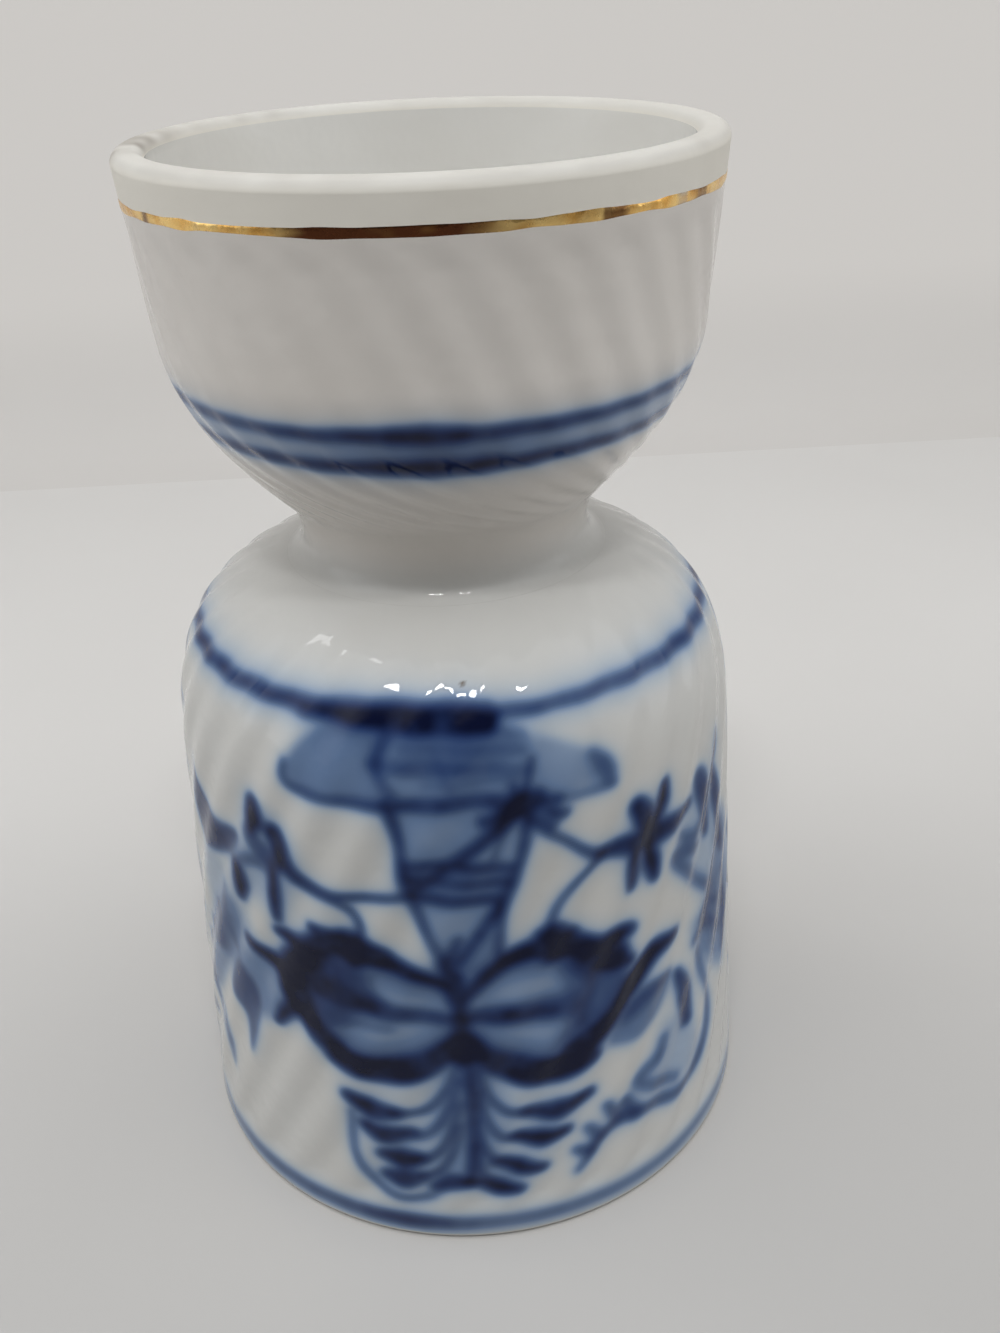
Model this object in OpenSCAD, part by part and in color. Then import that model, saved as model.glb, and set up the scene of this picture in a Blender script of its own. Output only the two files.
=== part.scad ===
// Double egg cup in spiral fluted porcelain. A small bowl stands mouth up on
// a large bowl that stands mouth down, and a short smooth waist joins them.
// The origin is at the middle of the foot ring, on the table. Z points up.

/* [Whole cup] */
// Height of the large bowl, from the foot to the waist
large_h = 56.3; // [52:0.1:60]
// Height of the small bowl, from the waist to the rim
small_h = 26.9; // [25:0.1:29]
// Thickness of the wall of both bowls
wall_t = 2.5; // [2:0.1:3]
// Thickness of the small bowl's floor and of the large bowl's roof
floor_t = 3; // [2.5:0.1:4]

/* [Small bowl] */
// Diameter across the rim
rim_d = 45.4; // [43:0.1:48]
// Diameter where the wall begins to curve in
knee_d = 43; // [41:0.1:43]
// Distance from the rim down to where the wall begins to curve in
knee_drop = 13.5; // [13:0.1:14.5]
// Radius of the rounded edges of the lip
lip_round = 0.9; // [0.5:0.05:0.95]

/* [Waist] */
// Diameter at the narrowest place
waist_d = 24.2; // [21:0.1:27]
// Radius of the hollow curve up to the small bowl
waist_upper_round = 5; // [4:0.1:6]
// Radius of the hollow curve down to the large bowl
waist_lower_round = 2; // [1.5:0.1:2.5]
// Height of the straight stretch between the two curves
waist_straight = 0.3; // [0.1:0.1:1]
// Slope of the small bowl's underside where the waist meets it
underside_slope = 45; // [40:1:50]
// Slope of the large bowl's top where the waist meets it
crown_slope = 15; // [12:1:20]

/* [Large bowl] */
// Diameter across the foot
foot_d = 53.2; // [50:0.1:56]
// Diameter where the round shoulder meets the wall
shoulder_d = 49; // [46:0.1:49.6]
// Height of the round shoulder
shoulder_drop = 15; // [13:0.1:18]
// Radius of the rounded edges of the foot
foot_round = 0.7; // [0.4:0.05:0.9]

/* [Flutes] */
// Number of flutes around each bowl
flutes = 32; // [26:1:36]
// Depth of a flute
flute_depth = 0.25; // [0.2:0.05:0.5]
// Length over which a flute runs out into the smooth surface
flute_fade = 2.4; // [1.5:0.1:3]
// Turn of a flute over the height of the small bowl, in degrees
small_turn = 33; // [20:1:40]
// Further turn that it gains on the underside, in degrees
small_swirl = 40; // [20:1:50]
// Turn of a flute over the height of the large bowl, in degrees
large_turn = 66; // [40:1:80]
// Share of their depth that the flutes keep on top of the large bowl
crown_flute_share = 0.6; // [0.3:0.05:1]

/* [Lines] */
// Thickness of the fired lines
line_t = 0.15; // [0.1:0.01:0.25]
// Width of the gold line
gold_w = 0.7; // [0.5:0.05:1]
// Distance from the rim down to the gold line
gold_drop = 2.9; // [2.8:0.1:3.6]
// Height that each blue line covers on the small bowl
pair_w = 0.9; // [0.6:0.05:1.2]
// Distance between the two blue lines of the pair
pair_gap = 1.7; // [1:0.1:2]
// Distance from the rim down to the pair
pair_drop = 16.2; // [15:0.1:16.5]
// Height that the blue line on the shoulder covers
shoulder_line_w = 0.75; // [0.5:0.05:1]
// Distance from the waist down to the line on the shoulder
shoulder_line_drop = 4.7; // [4:0.1:5.5]
// Height that the line at the foot covers
foot_line_w = 0.8; // [0.5:0.05:1]
// Height of that line above the table
foot_line_z = 1.6; // [1.2:0.1:2.2]

/* [Hidden] */
// How full the curves are, as shares of the height or width they cover
underside_lead_share = 0.55;
underside_trail_share = 0.35;
crown_lead_share = 0.72;
crown_trail_share = 0.58;
hollow_share = 0.75;

// How far a cut runs past the face that it opens
overrun = 1;
// Distance between the two places that a slope is measured from
probe = 0.01;
// Points around one flute, and rounds of halving in a search
flute_points = 4;
halvings = 24;
$fn = 128;

around = flutes * flute_points;
waist_r = waist_d / 2;
base_r = waist_r + waist_upper_round * (1 - cos(underside_slope));
crown_r = waist_r + waist_lower_round * (1 - sin(crown_slope));
waist_h = waist_upper_round * sin(underside_slope) + waist_straight
    + waist_lower_round * cos(crown_slope);
base_z = large_h + waist_h;
cup_h = base_z + small_h;

knee_r = knee_d / 2;
knee_z = cup_h - knee_drop;
wall_slope = (rim_d / 2 - knee_r) / knee_drop;
shoulder_r = shoulder_d / 2;
shoulder_z = large_h - shoulder_drop;
foot_slope = (foot_d / 2 - shoulder_r) / shoulder_z;

gold_z = cup_h - gold_drop - gold_w;
upper_z = cup_h - pair_drop - pair_w;
lower_z = upper_z - pair_gap - pair_w;
shoulder_line_z = large_h - shoulder_line_drop - shoulder_line_w;

porcelain = "#e2e6ea";
cobalt = "#26335c";
dark_cobalt = "#1c2236";
pale_cobalt = "#76839c";
gold = "#b98a3a";

// Place on a curve with four handles, each a radius and a height
function on_curve(c, t) =
    pow(1 - t, 3) * c[0] + 3 * pow(1 - t, 2) * t * c[1]
    + 3 * (1 - t) * t * t * c[2] + pow(t, 3) * c[3];

// Radius of a rising curve at a height, found by halving
function radius_at(c, z, from = 0, to = 1, left = halvings) =
    let (mid = (from + to) / 2)
    left == 0 ? on_curve(c, mid)[0]
    : on_curve(c, mid)[1] < z ? radius_at(c, z, mid, to, left - 1)
    : radius_at(c, z, from, mid, left - 1);

// How far a rounded edge draws the wall in, at a distance from its end face
function drawn_in(distance, r) =
    let (rest = r - min(r, max(0, distance))) r - sqrt(r * r - rest * rest);

// Rises smoothly from none to all over a length
function faded(distance, length) =
    let (t = min(1, max(0, distance / length))) t * t * (3 - 2 * t);

// Heights from one to another in equal steps, without the last
function climb(from, to, steps) =
    [for (i = [0 : steps - 1]) from + (to - from) * i / steps];

underside = [
    [base_r, base_z],
    [base_r + underside_lead_share * (knee_r - base_r),
        base_z + underside_lead_share * (knee_r - base_r) * tan(underside_slope)],
    [knee_r - underside_trail_share * (knee_z - base_z) * wall_slope,
        knee_z - underside_trail_share * (knee_z - base_z)],
    [knee_r, knee_z]];

shoulder = [
    [shoulder_r, shoulder_z],
    [shoulder_r - crown_trail_share * shoulder_drop * foot_slope,
        shoulder_z + crown_trail_share * shoulder_drop],
    [crown_r + crown_lead_share * (shoulder_r - crown_r),
        large_h - crown_lead_share * (shoulder_r - crown_r) * tan(crown_slope)],
    [crown_r, large_h]];

// Outer radius of each bowl at a height, without its flutes
function small_r(z) =
    z < knee_z ? radius_at(underside, z)
    : knee_r + (z - knee_z) * wall_slope - drawn_in(cup_h - z, lip_round);

function large_r(z) =
    z > shoulder_z ? radius_at(shoulder, z)
    : shoulder_r + (shoulder_z - z) * foot_slope - drawn_in(z, foot_round);

// Part of the full flute depth that each bowl has at a height
function small_fade(z) =
    faded(z - base_z, flute_fade) * faded(gold_z - z, flute_fade);

function large_fade(z) =
    faded(z - foot_line_z - foot_line_w, flute_fade) * faded(large_h - z, flute_fade)
    * (1 - (1 - crown_flute_share) * faded(z - shoulder_z, shoulder_drop));

// Direction of a flute at a height, as an angle around the cup
function small_twist(z) =
    -small_turn * (z - base_z) / small_h
    + small_swirl * pow(max(0, knee_z - z) / (knee_z - base_z), 3);

function large_twist(z) = large_turn * z / large_h;

// Point of a fluted skin, lifted off it by some thickness
function skin_point(r, slope, z, angle, out) =
    let (length = sqrt(1 + slope * slope))
    let (far = r + out / length)
    [far * cos(angle), far * sin(angle), z - out * slope / length];

// Depth that the i-th line of points around a bowl has, from none to all
function wave(i) = (1 - cos(360 * i / flute_points)) / 2;

function small_point(z, i, lift) =
    skin_point(small_r(z), (small_r(z) - small_r(z - probe)) / probe, z,
        360 * i / around + small_twist(z), lift - flute_depth * small_fade(z) * wave(i));

function large_point(z, i, lift) =
    skin_point(large_r(z), (large_r(z) - large_r(z - probe)) / probe, z,
        360 * i / around + large_twist(z), lift - flute_depth * large_fade(z) * wave(i));

// Loops of points woven into one closed skin. A ring has no end faces, since
// its last loop meets its first.
module woven(loops, ring = false) {
    n = len(loops[0]);
    last = len(loops) - 1;
    sides = [for (k = [0 : ring ? last : last - 1], i = [0 : n - 1])
        let (a = k * n, b = (k + 1) % (last + 1) * n, j = (i + 1) % n)
        each [[a + i, b + i, b + j], [a + i, b + j, a + j]]];
    ends = ring ? [] : [[for (i = [0 : n - 1]) i],
        [for (i = [n - 1 : -1 : 0]) last * n + i]];
    polyhedron([for (loop = loops) each loop], concat(sides, ends));
}

function small_loop(z, lift = 0) = [for (i = [0 : around - 1]) small_point(z, i, lift)];

function large_loop(z, lift = 0) = [for (i = [0 : around - 1]) large_point(z, i, lift)];

// Hollow of a bowl, from its closed end at a height to its open end
module hollow(closed_z, turn_z, turn_r, mouth_z, mouth_r, edge) {
    up = sign(mouth_z - closed_z);
    cup = [[0, closed_z], [hollow_share * turn_r, closed_z],
        [turn_r, turn_z - hollow_share * (turn_z - closed_z)], [turn_r, turn_z]];
    rotate_extrude()
        polygon(concat(
            [for (i = [0 : 12]) on_curve(cup, i / 12)],
            [for (a = [0 : 15 : 90])
                [mouth_r + edge * (1 - cos(a)), mouth_z - up * edge * (1 - sin(a))]],
            [[mouth_r + edge, mouth_z + up * overrun], [0, mouth_z + up * overrun]]));
}

// The mouth-down bowl that the cup stands on
module large_bowl() {
    heights = concat(
        [for (a = [0 : 30 : 60]) foot_round * (1 - cos(a))],
        climb(foot_round, foot_line_z, 1),
        climb(foot_line_z, foot_line_z + foot_line_w, 1),
        climb(foot_line_z + foot_line_w, foot_line_z + foot_line_w + flute_fade, 1),
        climb(foot_line_z + foot_line_w + flute_fade, shoulder_z, 5),
        climb(shoulder_z, shoulder_line_z, 4),
        climb(shoulder_line_z, shoulder_line_z + shoulder_line_w, 1),
        climb(shoulder_line_z + shoulder_line_w, large_h, 4),
        [large_h]);
    color(porcelain)
    difference() {
        woven([for (z = heights) large_loop(z)]);
        hollow(large_h - floor_t, shoulder_z, shoulder_r - wall_t,
            0, foot_d / 2 - wall_t, foot_round);
    }
}

// The smooth waist, a solid disc that both bowls are stuck to
module waist() {
    low = large_h + waist_lower_round * cos(crown_slope);
    high = low + waist_straight;
    color(porcelain)
    rotate_extrude()
        polygon(concat(
            [[0, large_h]],
            [for (i = [0 : 8])
                let (a = crown_slope + (90 - crown_slope) * i / 8)
                [waist_r + waist_lower_round * (1 - sin(a)), low - waist_lower_round * cos(a)]],
            [for (i = [0 : 8])
                let (a = underside_slope * i / 8)
                [waist_r + waist_upper_round * (1 - cos(a)), high + waist_upper_round * sin(a)]],
            [[0, base_z]]));
}

// The mouth-up bowl that holds the egg
module small_bowl() {
    heights = concat(
        climb(base_z, base_z + flute_fade, 2),
        climb(base_z + flute_fade, lower_z, 3),
        climb(lower_z, lower_z + pair_w, 1),
        climb(lower_z + pair_w, upper_z, 1),
        climb(upper_z, upper_z + pair_w, 1),
        climb(upper_z + pair_w, gold_z - flute_fade, 3),
        climb(gold_z - flute_fade, gold_z, 2),
        climb(gold_z, gold_z + gold_w, 1),
        climb(gold_z + gold_w, cup_h - lip_round, 1),
        [for (a = [0 : 30 : 90]) cup_h - lip_round * (1 - sin(a))]);
    color(porcelain)
    difference() {
        woven([for (z = heights) small_loop(z)]);
        hollow(base_z + floor_t, knee_z, knee_r - wall_t,
            cup_h, rim_d / 2 - wall_t, lip_round);
    }
}

// A fired line where the skin is smooth, between two heights
module smooth_line(low_z, low_r, high_z, high_r) {
    rotate_extrude()
        polygon([[low_r, low_z], [low_r + line_t, low_z],
            [high_r + line_t, high_z], [high_r, high_z]]);
}

// A fired line that follows the flutes of the small bowl
module pair_line(z) {
    woven([small_loop(z), small_loop(z, line_t), small_loop(z + pair_w, line_t),
        small_loop(z + pair_w)], ring = true);
}

module gold_line() {
    color(gold) smooth_line(gold_z, small_r(gold_z), gold_z + gold_w, small_r(gold_z + gold_w));
}

module upper_blue_line() {
    color(cobalt) pair_line(upper_z);
}

module lower_blue_line() {
    color(cobalt) pair_line(lower_z);
}

// The line on the shoulder follows the flutes of the large bowl
module shoulder_line() {
    top_z = shoulder_line_z + shoulder_line_w;
    color(dark_cobalt)
    woven([large_loop(shoulder_line_z), large_loop(shoulder_line_z, line_t),
        large_loop(top_z, line_t), large_loop(top_z)], ring = true);
}

module foot_line() {
    top_z = foot_line_z + foot_line_w;
    color(pale_cobalt) smooth_line(foot_line_z, large_r(foot_line_z), top_z, large_r(top_z));
}

large_bowl();
waist();
small_bowl();
gold_line();
upper_blue_line();
lower_blue_line();
shoulder_line();
foot_line();
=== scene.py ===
"""Looks of the double egg cup: fluted porcelain, underglaze cobalt and worn gold.

Sizes of the cup are in millimetres and repeat those of the CAD model. Painted
places are given as degrees around the cup, from the front towards the right,
and millimetres above the table.
"""

import math

import bpy
import numpy as np
from mathutils import Matrix, Vector


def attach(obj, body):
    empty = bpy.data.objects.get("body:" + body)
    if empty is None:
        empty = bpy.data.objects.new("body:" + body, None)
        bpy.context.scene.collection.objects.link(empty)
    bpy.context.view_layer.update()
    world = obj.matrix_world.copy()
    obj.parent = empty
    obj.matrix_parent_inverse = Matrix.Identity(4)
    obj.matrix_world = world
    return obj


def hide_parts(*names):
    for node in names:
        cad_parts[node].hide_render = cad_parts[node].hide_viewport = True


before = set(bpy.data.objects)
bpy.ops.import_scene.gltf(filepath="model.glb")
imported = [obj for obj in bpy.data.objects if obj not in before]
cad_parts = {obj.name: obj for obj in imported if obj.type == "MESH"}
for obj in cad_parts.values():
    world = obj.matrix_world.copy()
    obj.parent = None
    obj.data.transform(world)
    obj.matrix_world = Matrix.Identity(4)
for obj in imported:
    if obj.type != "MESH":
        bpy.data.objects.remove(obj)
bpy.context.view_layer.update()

MM = 0.001

# The photo's height in pixels, and the camera that sees the cup as it does
PHOTO_H = 1333
CAMERA_FOCAL_PX = 1316.6
CAMERA_BACK, CAMERA_HEIGHT = 104.6, 101.0
CAMERA_PITCH = math.radians(28.9)
CAMERA_YAW = math.radians(2.27)
CAMERA_ROLL = math.radians(-2.35)

# Large bowl
LARGE_H = 56.3
FOOT_R = 26.6
FOOT_ROUND = 0.7
SHOULDER_R = 24.5
SHOULDER_DROP = 15.0
WALL = 2.5
FLOOR = 3.0

# Waist
WAIST_R = 12.1
UPPER_ROUND = 5.0
LOWER_ROUND = 2.0
WAIST_STRAIGHT = 0.3
UNDERSIDE_SLOPE = math.radians(45)
CROWN_SLOPE = math.radians(15)

# Small bowl
SMALL_H = 26.9
RIM_R = 22.7
KNEE_R = 21.5
KNEE_DROP = 13.5
LIP_ROUND = 0.9

# Fullness of the curves, as shares of what they cover
UNDERSIDE_LEAD, UNDERSIDE_TRAIL = 0.55, 0.35
CROWN_LEAD, CROWN_TRAIL = 0.72, 0.58
HOLLOW_FULLNESS = 0.75
HOLLOW_END_R = 0.05

# Flutes
FLUTES = 32
FLUTE_DEPTH = 0.25
FLUTE_FADE = 2.4
SMALL_TURN, SMALL_SWIRL, LARGE_TURN = 33.0, 40.0, 66.0
CROWN_FLUTE_SHARE, SMALL_FLUTE_SHARE = 0.6, 0.5
FLUTE_UNEVENNESS = 0.12

# Painted and gilded lines: width and distance from the rim, the waist or the foot
GOLD_W, GOLD_DROP, GOLD_LIFT = 0.7, 2.9, 0.03
PAIR_W, PAIR_GAP, PAIR_DROP = 0.9, 1.7, 16.2
SHOULDER_LINE_W, SHOULDER_LINE_DROP = 0.75, 4.7
FOOT_LINE_W, FOOT_LINE_Z = 0.8, 1.6

# How fine the meshes and the paint are
COLUMNS_PER_FLUTE = 22
ROW_STEP = 0.22
END_ROW_SHARE = 0.1
PAINT_STEP = 0.1
LARGE_PAINT_R, SMALL_PAINT_R = 25, 20
MAP_EDGE = 0.04

# How the ink runs in the firing: how far, and how dark beside what was painted
INK_BLEED, BLEED_SHARE = 0.5, 0.6
INK_SPREAD, SPREAD_SHARE = 1.7, 0.44
INK_BLUR, INK_GAIN = 0.5, 1.02

WAIST_H = (
    UPPER_ROUND * math.sin(UNDERSIDE_SLOPE)
    + WAIST_STRAIGHT
    + LOWER_ROUND * math.cos(CROWN_SLOPE)
)
BASE_Z = LARGE_H + WAIST_H
BASE_R = WAIST_R + UPPER_ROUND * (1 - math.cos(UNDERSIDE_SLOPE))
CROWN_R = WAIST_R + LOWER_ROUND * (1 - math.sin(CROWN_SLOPE))
CUP_H = BASE_Z + SMALL_H
KNEE_Z = CUP_H - KNEE_DROP
WALL_SLOPE = (RIM_R - KNEE_R) / KNEE_DROP
SHOULDER_Z = LARGE_H - SHOULDER_DROP
FOOT_SLOPE = (FOOT_R - SHOULDER_R) / SHOULDER_Z
GOLD_Z = CUP_H - GOLD_DROP - GOLD_W
UPPER_Z = CUP_H - PAIR_DROP - PAIR_W
LOWER_Z = UPPER_Z - PAIR_GAP - PAIR_W
SHOULDER_LINE_Z = LARGE_H - SHOULDER_LINE_DROP - SHOULDER_LINE_W
COLUMNS = FLUTES * COLUMNS_PER_FLUTE


# Curves and outlines


def smooth(t):
    """Rises from 0 to 1 with no corner."""
    t = np.clip(t, 0, 1)
    return t * t * (3 - 2 * t)


def bezier(handles, count=80):
    """Points of a curve with four handles."""
    h = np.array(handles, float)
    t = np.linspace(0, 1, count)[:, None]
    return (
        (1 - t) ** 3 * h[0]
        + 3 * (1 - t) ** 2 * t * h[1]
        + 3 * (1 - t) * t**2 * h[2]
        + t**3 * h[3]
    )


def arc(centre, radius, start, end, count=10):
    """Points of an arc between two directions, in degrees from outwards to up."""
    a = np.radians(np.linspace(start, end, count))
    return np.stack([centre[0] + radius * np.cos(a), centre[1] + radius * np.sin(a)], -1)


def even_rows(path, step):
    """The same outline, with its points a step apart."""
    path = np.concatenate(path)
    keep = np.r_[True, np.hypot(*np.diff(path, axis=0).T) > 1e-6]
    path = path[keep]
    along = np.r_[0, np.cumsum(np.hypot(*np.diff(path, axis=0).T))]
    at = np.linspace(0, along[-1], max(2, round(along[-1] / step) + 1))
    return np.stack([np.interp(at, along, path[:, 0]), np.interp(at, along, path[:, 1])], -1)


def fine_ends(outline):
    """The same outline with a point close to each end, so that shading runs on over a joint."""
    first = outline[0] + END_ROW_SHARE * (outline[1] - outline[0])
    last = outline[-1] + END_ROW_SHARE * (outline[-2] - outline[-1])
    return np.concatenate([outline[:1], [first], outline[1:-1], [last], outline[-1:]])


def hollow_outline(closed_z, turn_z, turn_r, mouth_r, mouth_z):
    """Outline of the inside of a bowl, from its mouth to its closed end."""
    end = bezier([
        [turn_r, turn_z],
        [turn_r, turn_z - HOLLOW_FULLNESS * (turn_z - closed_z)],
        [HOLLOW_FULLNESS * turn_r, closed_z],
        [HOLLOW_END_R, closed_z],
    ])
    return [np.array([[mouth_r, mouth_z]]), end]


def large_outlines():
    """Outside of the large bowl from its crown down, and the rest of its skin."""
    lead = CROWN_LEAD * (SHOULDER_R - CROWN_R)
    trail = CROWN_TRAIL * SHOULDER_DROP
    shoulder = bezier([
        [CROWN_R, LARGE_H],
        [CROWN_R + lead, LARGE_H - lead * math.tan(CROWN_SLOPE)],
        [SHOULDER_R - trail * FOOT_SLOPE, SHOULDER_Z + trail],
        [SHOULDER_R, SHOULDER_Z],
    ])
    outer_edge = FOOT_R - FOOT_SLOPE * FOOT_ROUND - FOOT_ROUND
    inner_edge = FOOT_R - WALL + FOOT_ROUND
    outside = fine_ends(even_rows([shoulder, [[outer_edge + FOOT_ROUND, FOOT_ROUND]]], ROW_STEP))
    foot = arc((outer_edge, FOOT_ROUND), FOOT_ROUND, 0, -90)
    inner_foot = arc((inner_edge, FOOT_ROUND), FOOT_ROUND, 270, 180)
    inside = hollow_outline(
        LARGE_H - FLOOR, SHOULDER_Z, SHOULDER_R - WALL, inner_edge - FOOT_ROUND, FOOT_ROUND
    )
    return outside, np.concatenate([foot[1:], inner_foot, even_rows(inside, 4 * ROW_STEP)[1:]])


def small_outlines():
    """Outside of the small bowl from its base up, and the rest of its skin."""
    lead = UNDERSIDE_LEAD * (KNEE_R - BASE_R)
    trail = UNDERSIDE_TRAIL * (KNEE_Z - BASE_Z)
    underside = bezier([
        [BASE_R, BASE_Z],
        [BASE_R + lead, BASE_Z + lead * math.tan(UNDERSIDE_SLOPE)],
        [KNEE_R - trail * WALL_SLOPE, KNEE_Z - trail],
        [KNEE_R, KNEE_Z],
    ])
    lip_z = CUP_H - LIP_ROUND
    outer_lip = RIM_R - LIP_ROUND * (1 + WALL_SLOPE)
    inner_lip = RIM_R - WALL + LIP_ROUND
    outside = fine_ends(even_rows([underside, [[outer_lip + LIP_ROUND, lip_z]]], ROW_STEP))
    lip = np.concatenate([
        arc((outer_lip, lip_z), LIP_ROUND, 0, 90),
        arc((inner_lip, lip_z), LIP_ROUND, 90, 180),
    ])
    inside = hollow_outline(
        BASE_Z + FLOOR, KNEE_Z, KNEE_R - WALL, inner_lip - LIP_ROUND, lip_z
    )
    return outside, np.concatenate([lip[1:], even_rows(inside, 2 * ROW_STEP)[1:]])


def large_flutes(z):
    """How deep the large bowl's flutes are at a height, and how far around they are."""
    depth = smooth((z - FOOT_LINE_Z - FOOT_LINE_W) / FLUTE_FADE)
    depth = depth * smooth((LARGE_H - z) / FLUTE_FADE)
    depth = depth * (1 - (1 - CROWN_FLUTE_SHARE) * smooth((z - SHOULDER_Z) / SHOULDER_DROP))
    return FLUTE_DEPTH * depth, LARGE_TURN * z / LARGE_H


def small_flutes(z):
    """How deep the small bowl's flutes are at a height, and how far around they are."""
    depth = smooth((z - BASE_Z) / FLUTE_FADE) * smooth((GOLD_Z - z) / FLUTE_FADE)
    curl = np.clip((KNEE_Z - z) / (KNEE_Z - BASE_Z), 0, 1) ** 3
    turn = SMALL_SWIRL * curl - SMALL_TURN * (z - BASE_Z) / SMALL_H
    return SMALL_FLUTE_SHARE * FLUTE_DEPTH * depth, turn


# Meshes


def outline_normals(outline, up):
    """Directions out of an outline that runs up, or down where up is -1."""
    along = np.gradient(outline, axis=0) * up
    out = np.stack([along[:, 1], -along[:, 0]], -1)
    return out / np.linalg.norm(out, axis=1)[:, None]


def plain_points(outline, turn=0.0):
    """Places of a smooth skin's points, as angle, radius and height, with rows along it."""
    rows = np.ones((len(outline), COLUMNS))
    angle = rows * (np.arange(COLUMNS) * 360 / COLUMNS + turn)
    return angle, rows * outline[:, 0, None], rows * outline[:, 1, None]


def fluted_points(outside, rest, flutes):
    """Places of a bowl's points: its fluted outside, and the smooth rest of its skin."""
    up = np.sign(outside[-1, 1] - outside[0, 1])
    column = np.arange(COLUMNS) * 360 / COLUMNS
    depth, turn = flutes(outside[:, 1])
    wave = (1 - np.cos(np.radians(column * FLUTES))) / 2
    beat = np.sin(np.radians(3 * column + 40)) * np.sin(np.radians(7 * column))
    sunk = depth[:, None] * (wave * (1 + FLUTE_UNEVENNESS * beat))[None]
    normal = outline_normals(outside, up)
    angle = turn[:, None] + column[None]
    radius = outside[:, 0, None] - normal[:, 0, None] * sunk
    height = outside[:, 1, None] - normal[:, 1, None] * sunk
    skins = zip((angle, radius, height), plain_points(rest, turn[-1]))
    return [np.concatenate(skin) for skin in skins]


def unroll(mesh, points, rows, columns):
    """Maps the skin flat, a row of the map for a row of points, and its caps beside it."""
    middle = points.reshape(rows, columns, 3)[:, 0]
    run = np.concatenate([[0], np.cumsum(np.linalg.norm(np.diff(middle, axis=0), axis=1))])
    run = run / run[-1] * (1 - MAP_EDGE)
    corners = np.zeros(len(mesh.loops), np.int32)
    mesh.loops.foreach_get("vertex_index", corners)
    row, column = corners // columns, corners % columns
    quads = (rows - 1) * columns
    across = column / columns
    sides = across[:4 * quads].reshape(-1, 4)
    sides[(sides.max(1) > 0.9)[:, None] & (sides == 0)] = 1
    across[:4 * quads] = sides.ravel()
    up = run[row]
    turn = 2 * np.pi * column[4 * quads:] / columns
    first = row[4 * quads:] == 0
    cap_r = 0.4 * MAP_EDGE
    across[4 * quads:] = MAP_EDGE * np.where(first, 1, 3) / 2 + cap_r * np.cos(turn)
    up[4 * quads:] = 1 - MAP_EDGE / 2 + cap_r * np.sin(turn)
    layer = mesh.uv_layers.new(name="OFBake")
    layer.data.foreach_set("uv", np.stack([across, up], -1).astype(np.float32).ravel())


def ring_mesh(name, angle, radius, height, up, material, closed=True):
    """A skin from rows of points around the cup, in millimetres, with or without end caps."""
    rows, columns = radius.shape
    turn = np.radians(angle - 90)
    points = np.stack([radius * np.cos(turn), radius * np.sin(turn), height], -1)
    points = points.reshape(-1, 3) * MM
    i, j = np.meshgrid(np.arange(rows - 1), np.arange(columns), indexing="ij")
    a = (i * columns + j).ravel()
    b = (i * columns + (j + 1) % columns).ravel()
    quads = np.stack([a, b, b + columns, a + columns], -1)
    if up < 0:
        quads = quads[:, ::-1]
    faces = quads.tolist()
    if closed:
        first = list(range(columns))
        last = [(rows - 1) * columns + k for k in range(columns)]
        faces.append(first[::-up])
        faces.append(last[::up])
    mesh = bpy.data.meshes.new(name)
    mesh.from_pydata(points.tolist(), [], faces)
    caps = len(faces) - len(quads)
    mesh.polygons.foreach_set("use_smooth", [True] * len(quads) + [False] * caps)
    mesh.materials.append(material)
    unroll(mesh, points, rows, columns)
    piece = bpy.data.objects.new(name, mesh)
    bpy.context.scene.collection.objects.link(piece)
    return piece


def keep_paint(piece, name, values):
    """Stores how much paint each point of a piece has."""
    layer = piece.data.attributes.new(name, "FLOAT", "POINT")
    layer.data.foreach_set("value", np.asarray(values, np.float32).ravel())


# Painting


def through(points, gap=0.12, closed=False):
    """A smooth path through points, in millimetres."""
    p = np.array(points, float)
    ends = (p[-2:-1], p[1:2]) if closed else (2 * p[:1] - p[1:2], 2 * p[-1:] - p[-2:-1])
    p = np.concatenate([ends[0], p, ends[1]])
    path = []
    for p0, p1, p2, p3 in zip(p, p[1:], p[2:], p[3:]):
        count = max(2, math.ceil(np.hypot(*(p2 - p1)) / gap))
        t = (np.arange(count) / count)[:, None]
        path.append(
            0.5 * (
                2 * p1 + (p2 - p0) * t
                + (2 * p0 - 5 * p1 + 4 * p2 - p3) * t**2
                + (3 * p1 - p0 - 3 * p2 + p3) * t**3
            )
        )
    return np.concatenate([*path, p[-2:-1]])


def blurred(values, radius):
    """Values softened over a radius in cells, with the two sides joined."""
    steps = np.arange(-2 * radius, 2 * radius + 1)
    weights = np.exp(-0.5 * (steps / (0.6 * radius)) ** 2)
    weights = weights / weights.sum()
    across = sum(w * np.roll(values, s, axis=1) for s, w in zip(steps, weights))
    padded = np.pad(across, ((2 * radius, 2 * radius), (0, 0)), mode="edge")
    rows = values.shape[0]
    return sum(w * padded[k:k + rows] for k, w in enumerate(weights))


def between(grid, y, x, ease=np.asarray):
    """Values of a grid between its cells. Its last column joins its first."""
    y0, x0 = np.floor(y).astype(int), np.floor(x).astype(int)
    ty, tx = ease(y - y0), ease(x - x0)
    x0, x1 = x0 % grid.shape[1], (x0 + 1) % grid.shape[1]
    low = grid[y0, x0] * (1 - tx) + grid[y0, x1] * tx
    high = grid[y0 + 1, x0] * (1 - tx) + grid[y0 + 1, x1] * tx
    return low * (1 - ty) + high * ty


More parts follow.
